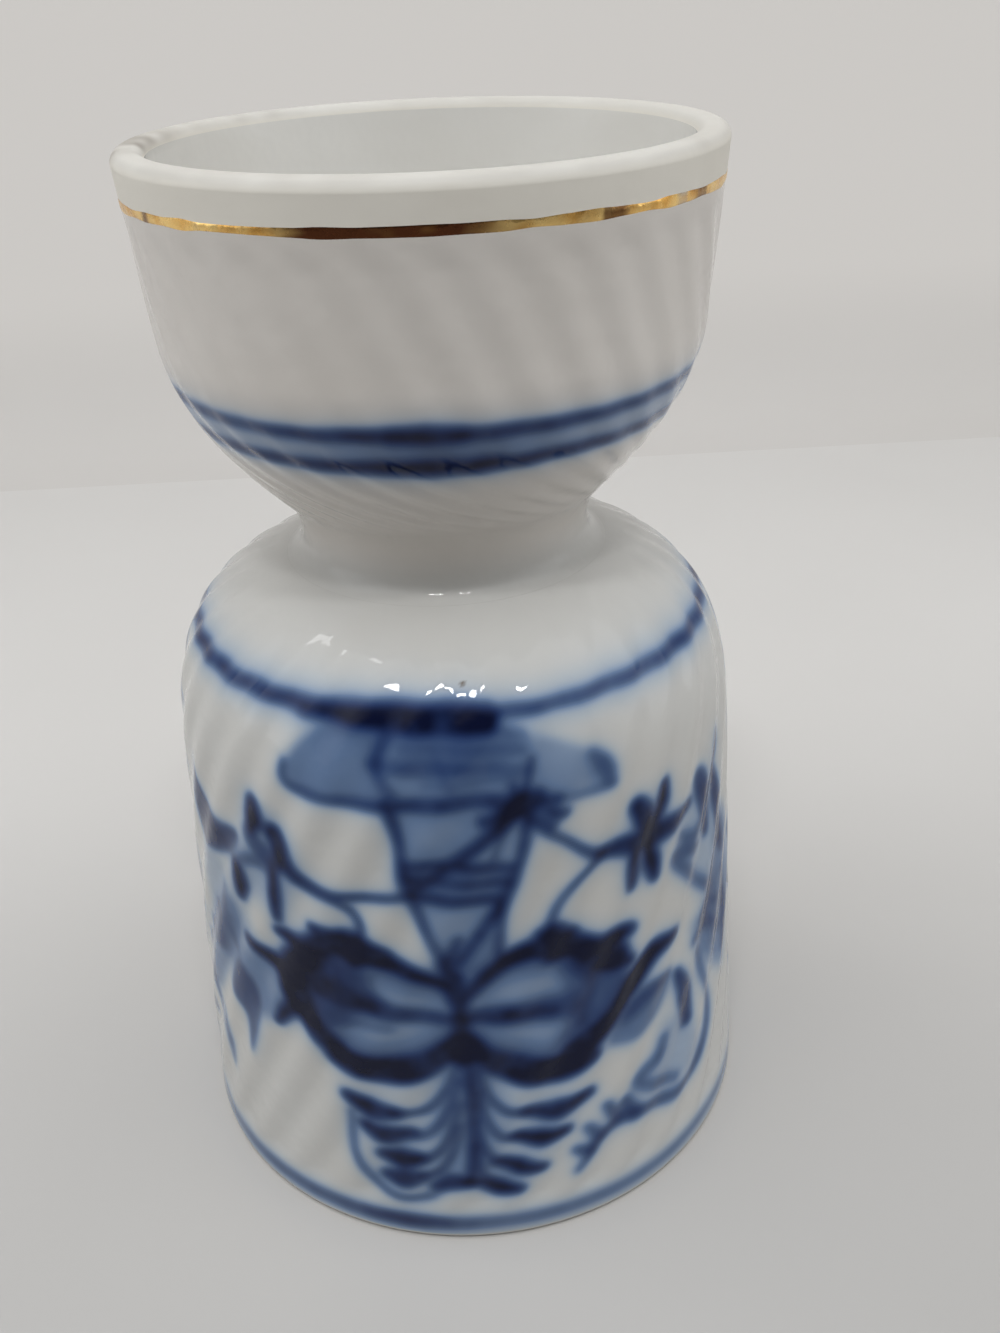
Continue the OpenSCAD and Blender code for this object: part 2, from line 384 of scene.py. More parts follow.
def soft_noise(shape, cell, seed):
    """Even, gentle unevenness between -1 and 1, whose two sides join."""
    dice = np.random.default_rng(seed)
    rows, columns = (max(2, round(n / cell)) for n in shape)
    grid = dice.uniform(-1, 1, (rows + 1, columns))
    y = np.linspace(0, rows - 1e-6, shape[0])
    x = np.arange(shape[1]) * columns / shape[1]
    return between(grid, y[:, None], x[None], smooth)


class Sheet:
    """A bowl's outside rolled flat, which strokes of ink are laid on."""

    def __init__(self, radius, low, high):
        self.per_degree = math.radians(radius)
        self.low = low
        self.columns = round(360 * self.per_degree / PAINT_STEP)
        self.rows = round((high - low) / PAINT_STEP)
        self.ink = np.zeros((self.rows, self.columns))
        self.turn = 0

    def flat(self, points):
        """Places on the sheet, in millimetres, of degrees around and heights."""
        p = np.array(points, float)
        return np.stack([(p[:, 0] + self.turn) * self.per_degree, p[:, 1] - self.low], -1)

    def cells(self, path, reach):
        """Rows and columns of the cells near a path, and their middles."""
        low = np.floor((path.min(0) - reach) / PAINT_STEP).astype(int)
        high = np.ceil((path.max(0) + reach) / PAINT_STEP).astype(int)
        columns = np.arange(low[0], high[0] + 1)
        rows = np.arange(max(0, low[1]), min(self.rows, high[1] + 1))
        x, y = np.meshgrid((columns + 0.5) * PAINT_STEP, (rows + 0.5) * PAINT_STEP)
        return rows, columns % self.columns, x, y

    def lay(self, rows, columns, cover):
        """Adds ink where there is cover, on top of what lies there already."""
        spot = np.ix_(rows, columns)
        self.ink[spot] = 1 - (1 - self.ink[spot]) * (1 - cover)

    def stroke(self, points, widths, ink=0.85, soft=0.42):
        """A stroke of the brush, with its widths spread evenly along it."""
        path = through(self.flat(points))
        share = np.linspace(0, 1, len(path))
        half = np.interp(share, np.linspace(0, 1, len(widths)), widths) / 2
        rows, columns, x, y = self.cells(path, half.max() + 2 * soft)
        cover = np.zeros(x.shape)
        for (px, py), r in zip(path, half):
            gap = np.hypot(x - px, y - py) - r
            np.maximum(cover, smooth(0.5 - gap / (2 * soft)), out=cover)
        self.lay(rows, columns, cover * ink)

    def wash(self, points, ink=0.35, soft=0.45):
        """Thin colour inside a closed outline through points."""
        path = through(self.flat([*points, points[0]]), gap=0.25, closed=True)
        rows, columns, x, y = self.cells(path, 2 * soft)
        inside = np.zeros(x.shape, bool)
        nearest = np.full(x.shape, np.inf)
        for (ax, ay), (bx, by) in zip(path, np.roll(path, -1, axis=0)):
            nearest = np.minimum(nearest, np.hypot(x - ax, y - ay))
            if ay != by:
                crossed = (ay > y) != (by > y)
                inside ^= crossed & (x < (bx - ax) * (y - ay) / (by - ay) + ax)
        gap = np.where(inside, -nearest, nearest)
        self.lay(rows, columns, smooth(0.5 - gap / (2 * soft)) * ink)

    def line(self, z, width, ink, wobble=0.08, soft=0.15):
        """A line all the way around, with uneven edges. ink may change along it."""
        x = np.arange(self.columns)
        y = (np.arange(self.rows) + 0.5)[:, None] * PAINT_STEP
        sway = wobble * soft_noise((2, self.columns), 45, round(z * 7))[:1]
        gap = np.abs(y - (z - self.low) - sway) - width / 2
        self.lay(np.arange(self.rows), x, smooth(0.5 - gap / (2 * soft)) * ink)

    def dry(self):
        """The ink after firing: uneven, with a pale bleed around it."""
        shape = self.ink.shape
        cloudy = 1 + 0.16 * soft_noise(shape, 14, 5) + 0.1 * soft_noise(shape, 5, 6)
        near = blurred(self.ink, round(INK_BLEED / PAINT_STEP))
        wide = blurred(self.ink, round(INK_SPREAD / PAINT_STEP))
        drawn = np.maximum(self.ink * (cloudy * self.ink + 1 - self.ink), BLEED_SHARE * near)
        fired = np.clip(1 - (1 - drawn) * (1 - SPREAD_SHARE * wide), 0, 1)
        self.ink = np.clip(INK_GAIN * blurred(fired, round(INK_BLUR / PAINT_STEP)), 0, 1)

    def at(self, angle, height):
        """The ink at each of some places."""
        x = (angle * self.per_degree / PAINT_STEP - 0.5) % self.columns
        y = np.clip((height - self.low) / PAINT_STEP - 0.5, 0, self.rows - 1.001)
        return between(self.ink, y, x)

    def around(self, places, values):
        """Values at some degrees around the cup, joined smoothly all the way round."""
        x = (np.arange(self.columns) + 0.5) * PAINT_STEP / self.per_degree
        order = np.argsort(np.array(places) % 360)
        places = (np.array(places) % 360)[order]
        values = np.array(values, float)[order]
        return np.interp(x, places, values, period=360)


# Motifs, each painted on the sheet s around its turn


def paint_top_ornament(s):
    """The broad scroll under the shoulder line."""
    s.wash([(-34.8, 46), (-33.6, 47.6), (-30.5, 49.2), (-25, 50.4), (-15, 51), (-12, 50.8),
            (-15, 47.8), (-11, 45), (-18.5, 44.9), (-26.3, 44.9), (-32.8, 45)], 0.33)
    s.wash([(-15.5, 47.8), (-12, 51), (5, 51), (9, 50.3), (15.6, 49.4), (22, 48.2),
            (27.5, 46.9), (30, 45.4), (28, 44.4), (17, 44.6), (5, 45.2), (-8.7, 45)],
           0.25, 0.5)
    s.wash([(-16, 48), (-10, 49.6), (4, 49.4), (12, 48.6), (4, 47.2), (-8, 47)], 0.12, 0.7)
    s.stroke([(-34.6, 47), (-34.9, 45.8), (-32.8, 44.9), (-26.3, 44.7), (-18.5, 44.7),
              (-8.7, 44.9), (0.7, 45.1), (5.2, 45.1), (11.2, 45)],
             [0.5, 0.6, 0.7, 0.8, 0.9, 1.1, 1.2, 1.0, 0.9], 0.72)
    s.stroke([(11, 45), (17.3, 44.4), (23.2, 44), (29, 44.2)], [0.7, 0.6, 0.7], 0.5)
    s.stroke([(-12.6, 50.6), (-15.8, 47.9), (-11.4, 45)], [1.1, 1.0, 0.6], 0.4, 0.45)
    s.stroke([(-17, 47.9), (-8.5, 47.8), (1, 47.7), (11.7, 47.3)], [0.6, 1.3, 1.0, 0.5], 0.42)
    s.stroke([(-10.8, 49.3), (1.3, 49), (12, 48.7)], [0.6, 0.9, 0.6], 0.36)
    s.stroke([(-9, 50.4), (4, 50.2), (12, 49.7)], [0.6, 0.9, 0.6], 0.36)
    s.stroke([(-7, 46.4), (3, 46.6), (13, 47)], [0.4, 0.7, 0.4], 0.3)
    s.stroke([(-2, 46), (-5, 48.8)], [0.5, 0.4], 0.25)
    s.stroke([(25.2, 47), (27.4, 45.8), (27.8, 44.8)], [0.7, 1.5, 0.8], 0.5, 0.8)


def paint_cone(s):
    """The crossed cone that hangs from the scroll."""
    s.wash([(-13, 44.6), (-11.9, 41.5), (-11.3, 38), (-4, 38.6), (3, 41.2), (9, 44.4), (0, 44.8)],
           0.26)
    s.wash([(-11.4, 39.9), (7.6, 39.5), (6, 36.2), (-9.9, 36.4)], 0.36)
    s.wash([(-9.8, 36.4), (6, 36.2), (2, 33.4), (-3.8, 30), (-7.8, 33.3)], 0.22)
    s.wash([(11, 43), (8, 39.6), (-2, 39.4), (3, 41.6), (8, 44)], 0.2)
    s.wash([(6, 36.4), (5.2, 30.6), (-2, 29.6), (2.7, 33.6)], 0.3)
    s.stroke([(-13.8, 45), (-12.1, 41.9), (-11.5, 39.2), (-9.9, 36.1), (-7.8, 33.3), (-4.4, 29.8)],
             [0.85, 0.8, 0.75, 0.6, 0.6, 0.7], 0.82)
    s.stroke([(11.4, 43.4), (10.4, 40.6), (6.6, 36.4), (2.7, 33.8), (-3.6, 29.6)],
             [0.8, 0.7, 0.8, 0.8, 0.8], 0.85)
    s.stroke([(6.2, 36.4), (5.2, 33), (5, 30.2)], [0.6, 0.55, 0.6], 0.72)
    s.stroke([(8.4, 43.7), (2.3, 41.4), (-2.5, 39.9), (-6.6, 38.2), (-11, 37.1)],
             [1.5, 1.0, 0.85, 0.8, 0.7], 0.86)
    s.stroke([(6.6, 42.4), (5, 40)], [0.5, 0.4], 0.6)
    s.stroke([(-11.4, 39.8), (-3, 39.6), (8.2, 39)], [0.6, 0.9, 0.7], 0.66)
    s.stroke([(-11, 38.5), (-1, 38), (7.2, 37.8)], [0.8, 0.8, 0.7], 0.7)
    s.stroke([(-10, 36.8), (-1.5, 36.5), (6, 36.3)], [0.8, 0.8, 0.8], 0.75)
    s.stroke([(-2.4, 32.6), (-5, 30)], [0.8, 1.0], 0.7)


def paint_knot(s):
    """The small knot with rays between the cone and the right sprig."""
    s.stroke([(7, 43.7), (10, 44.5), (13.6, 44.7)], [1.6, 2.0, 1.4], 0.97)
    rays = ((3.4, 43.4, 0.9), (5.2, 44.9, 0.7), (9, 46.2, 0.5), (13, 47.8, 0.45),
            (17.4, 44.3, 0.7), (18.8, 43, 0.8), (16, 42.2, 0.7), (6.6, 42.6, 0.8))
    for degrees, height, width in rays:
        middle = (0.55 * 10.4 + 0.45 * degrees, 0.55 * 44.2 + 0.45 * height)
        s.stroke([(10.4, 44.2), middle, (degrees, height)], [0.6, 0.5, width], 0.75)
    s.stroke([(15.6, 43.6), (17.4, 42.8)], [0.5, 0.9, 0.5], 0.7)


def paint_sprigs(s):
    """The stems to the left and right, with their dabbed petals."""
    s.wash([(-51, 36), (-45.5, 41), (-39, 42), (-33.5, 40), (-33, 37.4), (-37, 33), (-47, 32.4),
            (-52.5, 33)], 0.13, 1.3)
    s.stroke([(-10.6, 36.9), (-18.5, 36.3), (-27.9, 35.9), (-33, 36.6), (-36, 38.2)],
             [0.65, 0.6, 0.75, 1.2, 1.4], 0.85)
    s.stroke([(-44.6, 39), (-41.7, 37.7), (-37, 37)], [1.6, 1.8, 0.9], 0.5)
    s.stroke([(-50.6, 35.2), (-45, 36.4), (-40, 36.5)], [0.8, 1.3, 1.5], 0.42)
    s.stroke([(-26.4, 35.7), (-22.4, 34.8), (-20.4, 33.2), (-22.6, 31.6)],
             [0.5, 0.6, 0.7, 0.5], 0.8)
    petals = (
        (2.0, [(-42.9, 42), (-43, 40.8), (-44, 39.6)]),
        (2.0, [(-38.2, 40), (-37, 38.8), (-37.6, 37.2)]),
        (1.7, [(-49.6, 34.6), (-49.2, 33.4), (-49.7, 31.8)]),
        (1.35, [(-39, 36.6), (-39, 34), (-39, 31.7)]),
    )
    for width, path in petals:
        s.stroke(path, [0.9 * width, 1.05 * width, 0.55 * width], 0.95)
    s.stroke([(10.4, 43.8), (13.8, 42.2), (17.5, 40.8), (22.7, 38.9), (26, 38.2)],
             [0.8, 0.6, 0.55, 0.7, 0.8], 0.85)
    s.stroke([(24.6, 38.3), (32.2, 38), (39, 37.6), (44, 37.6), (50, 38)],
             [0.9, 1.7, 2.1, 1.7, 0.7], 0.93)
    s.stroke([(25.6, 38), (19.7, 36.3), (15.7, 34.3), (14, 31.6)], [0.6, 0.55, 0.55, 0.6], 0.78)
    petals = (
        (2.1, [(34.4, 41), (35.4, 40.2), (36.6, 38.6)]),
        (1.5, [(41.6, 41.6), (41.1, 40.4), (39.4, 39)]),
        (1.35, [(33, 36.8), (32.6, 35.4), (32.2, 33.8)]),
        (1.7, [(36.9, 36.6), (37.4, 35.2), (37.8, 33.8)]),
    )
    for width, path in petals:
        s.stroke(path, [0.85 * width, 1.05 * width, 0.7 * width], 0.95)


def paint_double_leaf(s):
    """The two dark, toothed leaves that meet at the middle."""
    s.wash([(-3.5, 28), (-10, 29), (-19, 30.2), (-28, 30), (-36, 28), (-38, 25), (-34, 22),
            (-27, 19.3), (-15, 19.4), (-5, 22)], 0.21)
    s.wash([(-1.5, 28), (5, 29.8), (14, 30.3), (22, 28.8), (29, 26.5), (32, 24), (26, 21),
            (19, 19.4), (9, 19.4), (-1, 22)], 0.21)
    s.wash([(-37, 28.4), (-28, 30), (-21, 29), (-19, 27), (-17, 25.6), (-22, 24.2), (-28, 23),
            (-35, 24.2)], 0.55, 0.9)
    s.wash([(17, 29.4), (27, 27.8), (31, 24.8), (25, 21.8), (16, 20.8), (17.6, 24.4)], 0.36, 0.9)
    rims = (
        [(-5, 28.2), (-14, 29.2), (-24, 29.8), (-34, 28)],
        [(0, 28.4), (6, 29.8), (15, 30), (26, 27.6)],
        [(-35, 24), (-26, 20.8), (-14, 20.4), (-4, 22.8)],
        [(30, 24), (20, 20.4), (9, 20), (-1, 22.6)],
    )
    for path in rims:
        s.stroke(path, [2.2, 2.8, 3.2, 2.6], 0.22, 1.2)
    dark_strokes = (
        ([(-3, 27.4), (-8, 28.9), (-14.5, 30), (-20, 30.8), (-27, 31), (-33, 29.6)],
         [1.0, 1.2, 1.6, 2.1, 2.5, 2.7]),
        ([(-31, 29.6), (-36.4, 27.6), (-37, 25.6), (-35, 23.6), (-31, 21.4), (-27, 19.7)],
         [2.4, 2.7, 2.9, 2.9, 2.4, 2.2]),
        ([(-27.5, 19.3), (-21, 18.9), (-15, 19.2), (-9.4, 20.3), (-3.4, 22.8)],
         [2.4, 2.8, 2.9, 2.4, 1.5]),
        ([(-1.2, 27.4), (3.6, 29.5), (9.6, 30.8), (16, 31), (22, 29.6), (28, 27.8)],
         [1.0, 1.5, 1.7, 2.2, 2.6, 2.6]),
        ([(34, 25.2), (29.5, 23), (24.5, 20.9), (18.6, 19.4)], [1.7, 2.0, 2.2, 2.5]),
        ([(22, 18.4), (15, 18.1), (8, 18.9), (2.5, 20.5), (-2, 22.8)], [1.8, 2.9, 3.0, 2.4, 1.5]),
        ([(-3, 29), (-2.7, 25.2), (-3.1, 22.6), (-3.2, 21)], [1.3, 1.2, 1.4, 2.4]),
    )
    left_teeth = (
        [(-49, 27.6), (-43, 27), (-36.5, 26.6)],
        [(-39.4, 30.4), (-35.6, 30), (-31, 28.8)],
        [(-30.6, 32.3), (-27, 31.7), (-22, 30.4)],
        [(-24.8, 32.3), (-21.6, 32), (-17, 30.6)],
        [(-41.4, 20.4), (-38.6, 22.2), (-35, 23.6)],
    )
    right_teeth = (
        [(13, 32.2), (15.8, 32.2), (16.4, 30.4)],
        [(19, 31.6), (17.4, 31.4), (15, 30.4)],
        [(31.8, 29.8), (28, 29.6), (22.6, 29)],
        [(31, 26.8), (27.6, 27.3), (24.6, 28)],
        [(43.6, 26.4), (37.5, 26), (31.6, 24)],
    )
    dark_strokes += tuple((path, [0.8, 1.6, 2.1]) for path in left_teeth)
    dark_strokes += tuple((path, [1.1, 2.0, 2.3]) for path in right_teeth)
    for path, widths in dark_strokes:
        s.stroke(path, widths, 0.975)
    s.stroke([(-34, 27), (-25, 26.2), (-16, 25.3), (-4, 25)], [3.0, 2.5, 1.5, 1.0], 0.72, 0.6)
    s.stroke([(-28, 22.8), (-22, 23.4), (-16, 23.6)], [1.0, 0.9, 0.6], 0.3)
    s.stroke([(0, 25), (7, 24.9), (18, 24.6)], [1.2, 2.2, 2.6], 0.46, 0.9)
    s.stroke([(-1.5, 25), (6.6, 24.9), (14.5, 24.5)], [1.0, 1.7, 1.2], 0.72, 0.5)
    s.stroke([(19.4, 28.4), (22.4, 26), (20.4, 22.2)], [1.0, 1.1, 0.9], 0.45, 0.5)
    s.stroke([(-5.4, 30.6), (-4.4, 28.8), (-3, 27)], [0.9, 1.2, 1.8], 0.85)


def paint_fan(s):
    """The fan of ribs and dashes that hangs from the leaves."""
    s.wash([(-6, 19.6), (-13, 17.2), (-25, 15.6), (-25.4, 9.4), (-20.6, 5.6), (-12, 4.9),
            (-5, 6.4), (5, 5.6), (12, 7.4), (18, 11), (20.6, 14), (11, 16.4), (1, 19.6)],
           0.04, 0.6)
    s.wash([(-8, 19.6), (-12.4, 12), (-12, 8.6), (-7.6, 8), (-1.6, 7), (0.4, 13), (1.4, 19.6)],
           0.05, 0.6)
    s.wash([(-6.4, 20.6), (-8, 13), (-7.6, 6.6), (-2.2, 6.8), (-1.8, 13), (-1.6, 20.6)], 0.1)
    s.wash([(0, 19.6), (6.4, 15.6), (4.6, 11.6), (0.2, 8.2), (-1.2, 12)], 0.1, 0.6)
    s.stroke([(-1.8, 21), (-1.6, 14), (-2.6, 6.9)], [1.2, 0.95, 0.8], 0.8)
    ribs = (
        [(-3.4, 20.4), (-6.2, 17.4), (-10.4, 15), (-16.4, 14.3)],
        [(-3.6, 18.4), (-6.6, 14.8), (-10.4, 12.4), (-15.4, 11.9)],
        [(-3.8, 16), (-6.4, 12), (-9.4, 10), (-13.2, 9.2)],
        [(-4, 13.4), (-5.8, 10.2), (-8.2, 8.2), (-11.6, 7.2)],
        [(-0.2, 19.6), (1.4, 16.6), (4.4, 14.8), (8.6, 14.2)],
        [(-0.4, 17), (1, 13.8), (3.6, 11.9), (7.2, 11.5)],
        [(-0.8, 14), (0.2, 11), (1.8, 9.5), (3.8, 9)],
        [(-1.2, 11.2), (-0.8, 9), (-0.2, 7.6), (1, 6.9)],
    )
    for path in ribs:
        s.stroke(path, [0.5, 0.6, 0.75, 0.9], 0.6, 0.3)
    dashes = (
        (2.3, [(-26, 15.4), (-21.6, 14.3), (-16.2, 14.5)]),
        (2.2, [(-22.8, 12.3), (-18.6, 11.7), (-13.4, 12.2)]),
        (2.3, [(-19.4, 9.4), (-16, 9.1), (-12, 9.6)]),
        (2.2, [(-19, 6.9), (-15.6, 6.9), (-12, 7.4)]),
        (2.1, [(8.6, 14.2), (14, 13.7), (21.6, 14.3)]),
        (2.0, [(6.4, 11.6), (11, 11), (16.4, 11)]),
        (1.9, [(2.4, 9), (6.6, 8.2), (11.4, 7.5)]),
        (2.0, [(-0.9, 6.8), (2.6, 6), (6.6, 5.6)]),
    )
    for width, path in dashes:
        s.stroke(path, [0.5 * width, 0.95 * width, 0.5 * width], 0.9, 0.5)
    s.stroke([(-9.4, 6.2), (-6, 6.9), (-3, 6.9)], [1.0, 1.6, 1.2], 0.88)
    s.stroke([(-25.6, 13.4), (-25.4, 9), (-21.6, 5.8), (-16.4, 4.6), (-11.3, 4.8), (-8.6, 6)],
             [0.6, 0.9, 1.0, 0.9, 0.9, 0.9], 0.5)


def paint_twig(s):
    """The thorny twig low on the right, which curls up the side."""
    s.stroke([(18.3, 6), (20.6, 7.2), (23.2, 8.8), (28.5, 9.5), (35.2, 9.3), (43, 8.4),
              (50.4, 9), (55.4, 11.6), (56.6, 15), (53.6, 19), (52, 22)],
             [0.8, 1.1, 1.2, 1.3, 1.4, 1.3, 1.1, 1.0, 0.9, 0.8, 0.6], 0.56, 0.6)
    thorns = (
        (1.3, [(18.4, 8.3), (20.8, 7.8)]),
        (1.3, [(21, 10.4), (23.4, 9)]),
        (1.3, [(25, 12.2), (27.6, 10)]),
        (1.5, [(29.6, 11.4), (31.6, 9.6)]),
    )
    for width, path in thorns:
        s.stroke(path, [0.8 * width, width], 0.58, 0.55)
    s.wash([(40.8, 17.9), (49.9, 14.9), (52.6, 10.6), (46.6, 9.6), (38, 11.6), (37, 14.6)],
           0.16, 1.1)
    s.stroke([(39.8, 16), (38, 14.4), (34.4, 13.4), (33, 12.6), (37, 11.4), (43, 10.2)],
             [0.8, 1.2, 1.5, 1.5, 1.3, 0.9], 0.47, 0.6)
    s.wash([(26, 18.6), (29.4, 21.6), (37.6, 23.2), (42.8, 22.4), (38.6, 19), (32, 17.8)],
           0.36, 0.7)
    s.stroke([(30.4, 20.6), (35.4, 22), (41.6, 22.4)], [1.0, 1.7, 0.8], 0.4, 0.6)
    s.stroke([(44.6, 21.8), (46.6, 19), (47.6, 15.6)], [0.9, 2.3, 1.4], 0.78)


def paint_side_leaves(s):
    """The foliage around the sides, next to the sprigs and the double leaf."""
    s.wash([(-68, 41), (-62, 38.6), (-55.7, 38), (-49, 38), (-52.6, 35.6), (-60.6, 34.2),
            (-67, 34.6)], 0.74, 0.5)
    s.wash([(-53.4, 24), (-57.5, 20), (-53, 18), (-51.4, 14.2), (-47.4, 19.4), (-48.4, 22.6)],
           0.56, 0.5)
    s.wash([(-67, 33), (-58, 33.6), (-50, 31), (-44, 26), (-44, 20), (-52, 22), (-62, 24)],
           0.13, 1.4)
    s.wash([(-50.2, 26.1), (-41, 25.9), (-39.8, 22.1), (-47.2, 19.4), (-55, 20), (-54, 23.4)],
           0.2, 1.0)
    s.wash([(-64.8, 26.6), (-54.2, 30.8), (-51.8, 27.4), (-57.5, 22.8), (-66, 17), (-71, 19)],
           0.28, 0.9)
    s.stroke([(-63.8, 14.8), (-62.6, 12), (-62.3, 9)], [0.7, 1.2, 0.6], 0.5)
    s.stroke([(-66, 24.4), (-61, 24), (-59, 26.6), (-61, 28)], [1.2, 1.6, 1.4, 0.8], 0.42)
    s.stroke([(-70, 22), (-69.4, 17), (-66, 13)], [1.0, 1.4, 0.8], 0.42)
    s.stroke([(-56, 31.4), (-57, 28), (-54, 25)], [0.8, 1.2, 0.8], 0.3)
    s.wash([(46, 36), (52, 36.8), (58, 33), (64, 27), (62, 19), (57, 21), (52, 29), (45, 33)],
           0.13, 1.4)
    s.stroke([(47, 35.4), (50.4, 34.6), (53, 35.2)], [1.0, 1.4, 0.7], 0.4, 0.6)
    s.wash([(52, 39.4), (55.4, 40.2), (58.4, 36.4), (57.4, 33), (54.6, 34.4)], 0.76, 0.5)
    s.wash([(59.6, 39.6), (62.6, 38.4), (66, 33), (66.6, 29), (63, 30.6), (60.6, 34.6)], 0.72, 0.5)
    s.stroke([(62.6, 42), (62.4, 39.8)], [0.9, 1.6, 0.9], 0.8)
    s.wash([(60, 33), (68, 33), (74, 26), (70, 16), (64.6, 16), (52, 21.5), (50, 25.5),
            (58.9, 27)], 0.28, 1.2)
    s.stroke([(51.9, 33.2), (44.6, 33.9), (47.3, 32.1), (52.4, 29.5), (58.9, 27.1)],
             [0.9, 1.5, 1.3, 1.2, 1.0], 0.45, 0.55)
    s.stroke([(57, 25.8), (55.6, 24.3), (50, 23.6)], [1.0, 1.2, 0.7], 0.4, 0.6)
    s.stroke([(56.4, 26.2), (54.4, 24.8), (60, 22.6), (64.6, 20.6)], [1.2, 1.4, 1.1, 0.8], 0.46)
    s.stroke([(60, 29), (58, 26), (62, 24.6)], [0.8, 1.1, 0.7], 0.36)
    s.stroke([(66, 27), (68, 23), (66, 18)], [1.0, 1.6, 0.8], 0.5)


def paint_peony(s):
    """The round blossom with leaves between one double leaf and the next."""
    petals = 7
    for k in range(petals):
        a = 2 * math.pi * k / petals
        root, middle, tip, side, other = (
            (wide * math.cos(a + lean), 25 + tall * math.sin(a + lean))
            for wide, tall, lean in ((4.5, 2, 0), (9.5, 4.5, 0), (14.5, 7, 0),
                                     (11, 5.4, 0.35), (11, 5.4, -0.35))
        )
        s.wash([root, side, tip, other], 0.36)
        s.stroke([root, side, tip], [0.7, 1.2, 0.8], 0.8)
        s.stroke([tip, other, root], [0.8, 0.9, 0.6], 0.7)
        s.stroke([middle, tip], [0.6, 1.0], 0.5)
    s.stroke([(-2, 25), (2, 25)], [2.6, 3.0, 2.6], 0.95)
    s.stroke([(0, 17.4), (2, 11), (-3, 6)], [0.9, 0.8, 0.7], 0.75)
    s.stroke([(0, 32.4), (1.5, 38), (-1, 43), (0, 47)], [0.9, 0.8, 0.7, 0.6], 0.75)
    for side in (-1, 1):
        s.stroke([(side * 1.5, 12), (side * 8, 13.4), (side * 15, 11.8)], [0.8, 2.6, 0.6], 0.85)
        s.stroke([(side * 0.5, 8), (side * 7, 7.4), (side * 12, 5)], [0.7, 2.0, 0.6], 0.75)
        s.stroke([(0, 37), (side * 6, 39.6), (side * 10, 38.6)], [0.7, 2.2, 0.7], 0.85)
        s.stroke([(0, 42), (side * 5, 44.6), (side * 9, 44)], [0.7, 1.9, 0.6], 0.7)
    s.stroke([(0, 46.4), (0, 48.6)], [1.4, 2.0, 1.0], 0.9)


def painted_large_bowl():
    """The sheet of the large bowl."""
    s = Sheet(LARGE_PAINT_R, 0, LARGE_H)
    for turn in (0, 180):
        s.turn = turn
        paint_top_ornament(s)
        paint_cone(s)
        paint_knot(s)
        paint_sprigs(s)
        paint_fan(s)
        paint_double_leaf(s)
        paint_twig(s)
        paint_side_leaves(s)
    for turn in (90, 272):
        s.turn = turn
        paint_peony(s)
    s.turn = 0
    middle = SHOULDER_LINE_Z + SHOULDER_LINE_W / 2
    thick = s.around([-90, -60, -34, -28, 9, 20, 60, 90, 180],
                     [0.75, 0.85, 0.9, 1.0, 0.7, 0.65, 0.75, 0.8, 0.7])
    s.line(middle, thick, s.around([-90, -50, -20, 12, 40, 90, 180],
                                   [0.86, 0.88, 0.95, 0.74, 0.8, 0.86, 0.85]))
    s.stroke([(-32, 51.1), (-17.7, 51.2), (-8.5, 51.1), (1.7, 51), (5.6, 50.9)],
             [0.9, 1.5, 1.9, 2.1, 2.0], 0.995, 0.3)
    s.line(middle, thick + 1.8, 0.1, soft=0.9)
    foot = FOOT_LINE_Z + FOOT_LINE_W / 2
    s.line(foot - 0.1, 1.5, s.around([-90, -50, -30, -12, 4, 40, 90, 180],
                                     [0.4, 0.48, 0.58, 0.66, 0.48, 0.4, 0.38, 0.42]), soft=0.9)
    s.stroke([(-24, foot), (-14, foot), (-8, foot)], [0.5, 1.2, 0.6], 0.5, 0.6)
    s.dry()
    return s


def painted_small_bowl():
    """The sheet of the small bowl."""
    s = Sheet(SMALL_PAINT_R, BASE_Z, CUP_H)
    upper, lower = UPPER_Z + PAIR_W / 2, LOWER_Z + PAIR_W / 2
    heavy = s.around([-70, -30, -8, 14, 40, 90, 180], [0.75, 0.8, 1.15, 1.0, 0.7, 0.7, 0.75])
    places = [-70, -30, -4, 16, 50, 180]
    s.line(upper, heavy * 0.95, s.around(places, [0.8, 0.84, 0.95, 0.86, 0.78, 0.82]), soft=0.3)
    s.line(lower, heavy * 1.05, s.around(places, [0.86, 0.9, 0.97, 0.94, 0.84, 0.86]), soft=0.3)
    s.stroke([(-9, upper), (-2, upper + 0.1), (4, upper)], [1.0, 1.5, 1.0], 0.97)
    s.stroke([(-12, lower), (0, lower), (12, lower)], [1.0, 1.4, 1.0], 0.97)
    s.line((upper + lower) / 2, upper - lower + 0.8, s.around(
        [-90, -40, -20, 0, 30, 90, 180], [0.12, 0.12, 0.2, 0.32, 0.16, 0.14, 0.22]), soft=0.7)
    s.dry()
    return s


# Materials

# Colours are linear. The ink's own are multiplied into the body under it.
COOL_BODY = (0.535, 0.535, 0.52)
# The small bowl and the waist have a warmer body, also painted lighter than the large bowl's:
# painted light.
WARM_LIT_BODY = (0.70, 0.67, 0.635)
# The insides of the bowls are painted lighter than the outsides: painted light.
INSIDE_LIT_BODY = (0.70, 0.695, 0.67)
LIP_BODY = (0.80, 0.775, 0.71)
CLOUDED, CLEAR = (0.93, 0.92, 0.905), (1.0, 1.0, 1.0)
